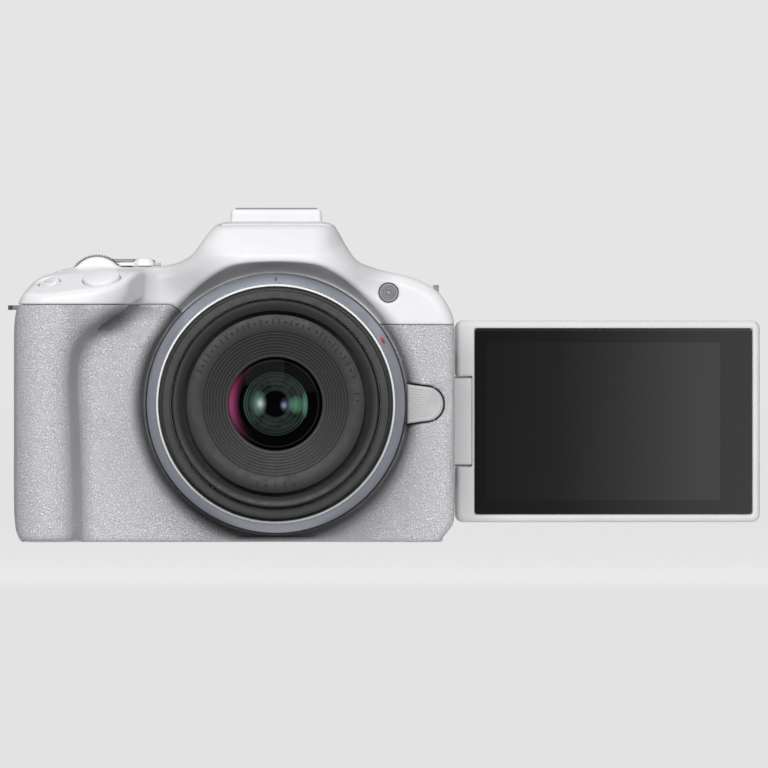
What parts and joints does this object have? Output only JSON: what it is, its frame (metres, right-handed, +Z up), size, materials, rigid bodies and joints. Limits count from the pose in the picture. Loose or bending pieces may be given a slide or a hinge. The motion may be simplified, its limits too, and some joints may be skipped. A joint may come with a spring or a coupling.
{
  "type": "digital camera",
  "caption": "Mirrorless camera with a sculpted grip, a viewfinder hump, a retractable zoom lens and a rear screen that swings out and turns to face forwards.",
  "frame": {"origin": "on the flat base, straight below the lens axis, in the plane of the lens mount's flange", "axes": "+Z up, -Y towards the subject along the lens axis, +X towards the side the screen swings out on"},
  "size_m": [0.1992, 0.0943, 0.0883],
  "materials": {
    "white_satin": "satin white paint",
    "pale_texture": "pale grey, fine leather-like grain",
    "pale_satin": "pale grey satin",
    "lens_silver": "blue-grey metallic paint",
    "black_matt": "matt black",
    "black_rubber": "matt black rubber",
    "grey_rubber": "pale grey soft flap",
    "steel": "brushed",
    "red_plastic": "satin red dot",
    "optical_glass": "coated, polished",
    "lamp_lens": "clear plastic over grey rings",
    "screen_glass": "black border, polished",
    "circuit": "green solder mask",
    "aluminium": "cast, bead blasted"
  },
  "bodies": {
    "camera_body": {"front_cover": "pale_texture", "top_cover": "white_satin", "rear_cover": "pale_satin", "base_plate": "pale_satin", "strap_lug_grip": "steel", "strap_lug_hinge": "steel", "tripod_socket": "steel", "hot_shoe": "steel", "shoe_contacts": "black_matt", "af_lamp": "lamp_lens", "eyecup": "black_rubber", "eyepiece_lens": "optical_glass", "viewfinder_unit": "black_matt", "mount_ring": "steel", "mount_frame": "aluminium", "shutter_unit": "black_matt", "sensor_module": "circuit", "main_board": "circuit", "battery_box": "black_matt", "battery": "black_matt", "memory_card": "black_matt", "lens_bayonet": "aluminium", "lens_barrel": "lens_silver", "iris_unit": "black_matt", "hinge_bracket": "steel", "swing_pin": "steel"},
    "shutter_button": {"shutter_button": "white_satin"},
    "function_button": {"function_button": "white_satin"},
    "movie_button": {"movie_button": "white_satin"},
    "iso_button": {"iso_button": "white_satin"},
    "main_dial": {"main_dial": "lens_silver"},
    "mode_dial": {"mode_dial": "lens_silver"},
    "power_lever": {"power_lever": "white_satin"},
    "cross_pad": {"cross_pad": "pale_satin"},
    "set_button": {"set_button": "pale_satin"},
    "info_button": {"info_button": "pale_satin"},
    "menu_button": {"menu_button": "pale_satin"},
    "playback_button": {"playback_button": "pale_satin"},
    "ae_lock_button": {"ae_lock_button": "pale_satin"},
    "af_point_button": {"af_point_button": "pale_satin"},
    "lens_release": {"lens_release_button": "pale_satin"},
    "lens_lock": {"lens_lock_pin": "steel"},
    "diopter": {"diopter_dial": "black_matt"},
    "flash": {"flash_head": "white_satin", "flash_window": "optical_glass"},
    "battery_door": {"battery_door": "pale_satin"},
    "door_latch": {"battery_door_latch": "pale_satin"},
    "mic_door": {"mic_door": "grey_rubber"},
    "port_door": {"port_door": "grey_rubber"},
    "shutter_curtain": {"shutter_curtain": "black_matt"},
    "zoom_ring": {"zoom_ring": "lens_silver"},
    "focus_ring": {"focus_ring": "black_matt"},
    "lens_tube": {"inner_barrel": "black_matt", "front_element": "optical_glass"},
    "screen_arm": {"hinge_arm": "pale_satin"},
    "screen_panel": {"tilt_shaft": "steel", "screen_frame": "pale_satin", "screen_back": "pale_satin", "screen_glass": "screen_glass", "display_module": "black_matt"}
  },
  "joints": [
    {"name": "screen_swing", "type": "hinge", "parent": "camera_body", "child": "screen_arm", "pos_m": [0.0444, 0.035, 0.0318], "axis": [0, 0, 1], "range_deg": [0, 175]},
    {"name": "screen_tilt", "type": "hinge", "parent": "screen_arm", "child": "screen_panel", "pos_m": [0.0444, 0.035, 0.0318], "axis": [0.9962, 0.0872, 0], "range_deg": [-270, 0]},
    {"name": "zoom_turn", "type": "hinge", "parent": "camera_body", "child": "zoom_ring", "pos_m": [0, -0.024, 0.0365], "axis": [0, -1, 0], "range_deg": [0, 75]},
    {"name": "lens_extend", "type": "slide", "parent": "camera_body", "child": "lens_tube", "axis": [0, -1, 0], "range_m": [0, 0.0131]},
    {"name": "focus_turn", "type": "hinge", "parent": "camera_body", "child": "focus_ring", "pos_m": [0, -0.037, 0.0365], "axis": [0, -1, 0], "continuous": true},
    {"name": "lens_release_press", "type": "slide", "parent": "camera_body", "child": "lens_release", "axis": [0, 1, 0], "range_m": [0, 0.0015]},
    {"name": "lens_lock_retract", "type": "slide", "parent": "camera_body", "child": "lens_lock", "axis": [0, 1, 0], "range_m": [0, 0.0015]},
    {"name": "shutter_press", "type": "slide", "parent": "camera_body", "child": "shutter_button", "axis": [0.109, 0.4041, -0.9082], "range_m": [0, 0.001]},
    {"name": "function_press", "type": "slide", "parent": "camera_body", "child": "function_button", "axis": [0.4211, 0.3609, -0.8321], "range_m": [0, 0.0005]},
    {"name": "movie_press", "type": "slide", "parent": "camera_body", "child": "movie_button", "axis": [0, 0, -1], "range_m": [0, 0.0006]},
    {"name": "iso_press", "type": "slide", "parent": "camera_body", "child": "iso_button", "axis": [0, 0, -1], "range_m": [0, 0.0006]},
    {"name": "main_dial_turn", "type": "hinge", "parent": "camera_body", "child": "main_dial", "pos_m": [-0.0472, 0.0033, 0.0682], "axis": [0, 1, 0], "continuous": true},
    {"name": "mode_dial_turn", "type": "hinge", "parent": "camera_body", "child": "mode_dial", "pos_m": [-0.04, 0.02, 0.074], "axis": [0, 0, 1], "continuous": true},
    {"name": "power_switch", "type": "hinge", "parent": "camera_body", "child": "power_lever", "pos_m": [-0.04, 0.02, 0.0734], "axis": [0, 0, -1], "range_deg": [0, 45]},
    {"name": "cross_pad_press", "type": "slide", "parent": "camera_body", "child": "cross_pad", "axis": [0, -1, 0], "range_m": [0, 0.0005]},
    {"name": "set_press", "type": "slide", "parent": "camera_body", "child": "set_button", "axis": [0, -1, 0], "range_m": [0, 0.0005]},
    {"name": "info_press", "type": "slide", "parent": "camera_body", "child": "info_button", "axis": [0, -1, 0], "range_m": [0, 0.0005]},
    {"name": "menu_press", "type": "slide", "parent": "camera_body", "child": "menu_button", "axis": [0, -1, 0], "range_m": [0, 0.0005]},
    {"name": "playback_press", "type": "slide", "parent": "camera_body", "child": "playback_button", "axis": [0, -1, 0], "range_m": [0, 0.0005]},
    {"name": "ae_lock_press", "type": "slide", "parent": "camera_body", "child": "ae_lock_button", "axis": [0, -1, 0], "range_m": [0, 0.0005]},
    {"name": "af_point_press", "type": "slide", "parent": "camera_body", "child": "af_point_button", "axis": [0, -1, 0], "range_m": [0, 0.0005]},
    {"name": "diopter_turn", "type": "hinge", "parent": "camera_body", "child": "diopter", "pos_m": [-0.014, 0.0406, 0.072], "axis": [1, 0, 0], "range_deg": [-150, 150]},
    {"name": "flash_raise", "type": "hinge", "parent": "camera_body", "child": "flash", "pos_m": [0, 0.0092, 0.0839], "axis": [-1, 0, 0], "range_deg": [0, 60]},
    {"name": "battery_door_open", "type": "hinge", "parent": "camera_body", "child": "battery_door", "pos_m": [-0.0434, 0.012, 0], "axis": [0, -1, 0], "range_deg": [0, 100]},
    {"name": "door_latch_slide", "type": "slide", "parent": "battery_door", "child": "door_latch", "axis": [1, 0, 0], "range_m": [0, 0.0016]},
    {"name": "mic_door_open", "type": "hinge", "parent": "camera_body", "child": "mic_door", "pos_m": [0.047, 0.008, 0.037], "axis": [0, 0, -1], "range_deg": [0, 100]},
    {"name": "port_door_open", "type": "hinge", "parent": "camera_body", "child": "port_door", "pos_m": [-0.0691, 0.024, 0.032], "axis": [0, 0, 1], "range_deg": [0, 100]},
    {"name": "curtain_rise", "type": "slide", "parent": "camera_body", "child": "shutter_curtain", "axis": [0, 0, 1], "range_m": [0, 0.0184]}
  ],
  "couplings": [
    {"joint": "lens_extend", "follows": "zoom_turn", "m_per_rad": 0.01},
    {"joint": "lens_lock_retract", "follows": "lens_release_press", "ratio": 1}
  ]
}
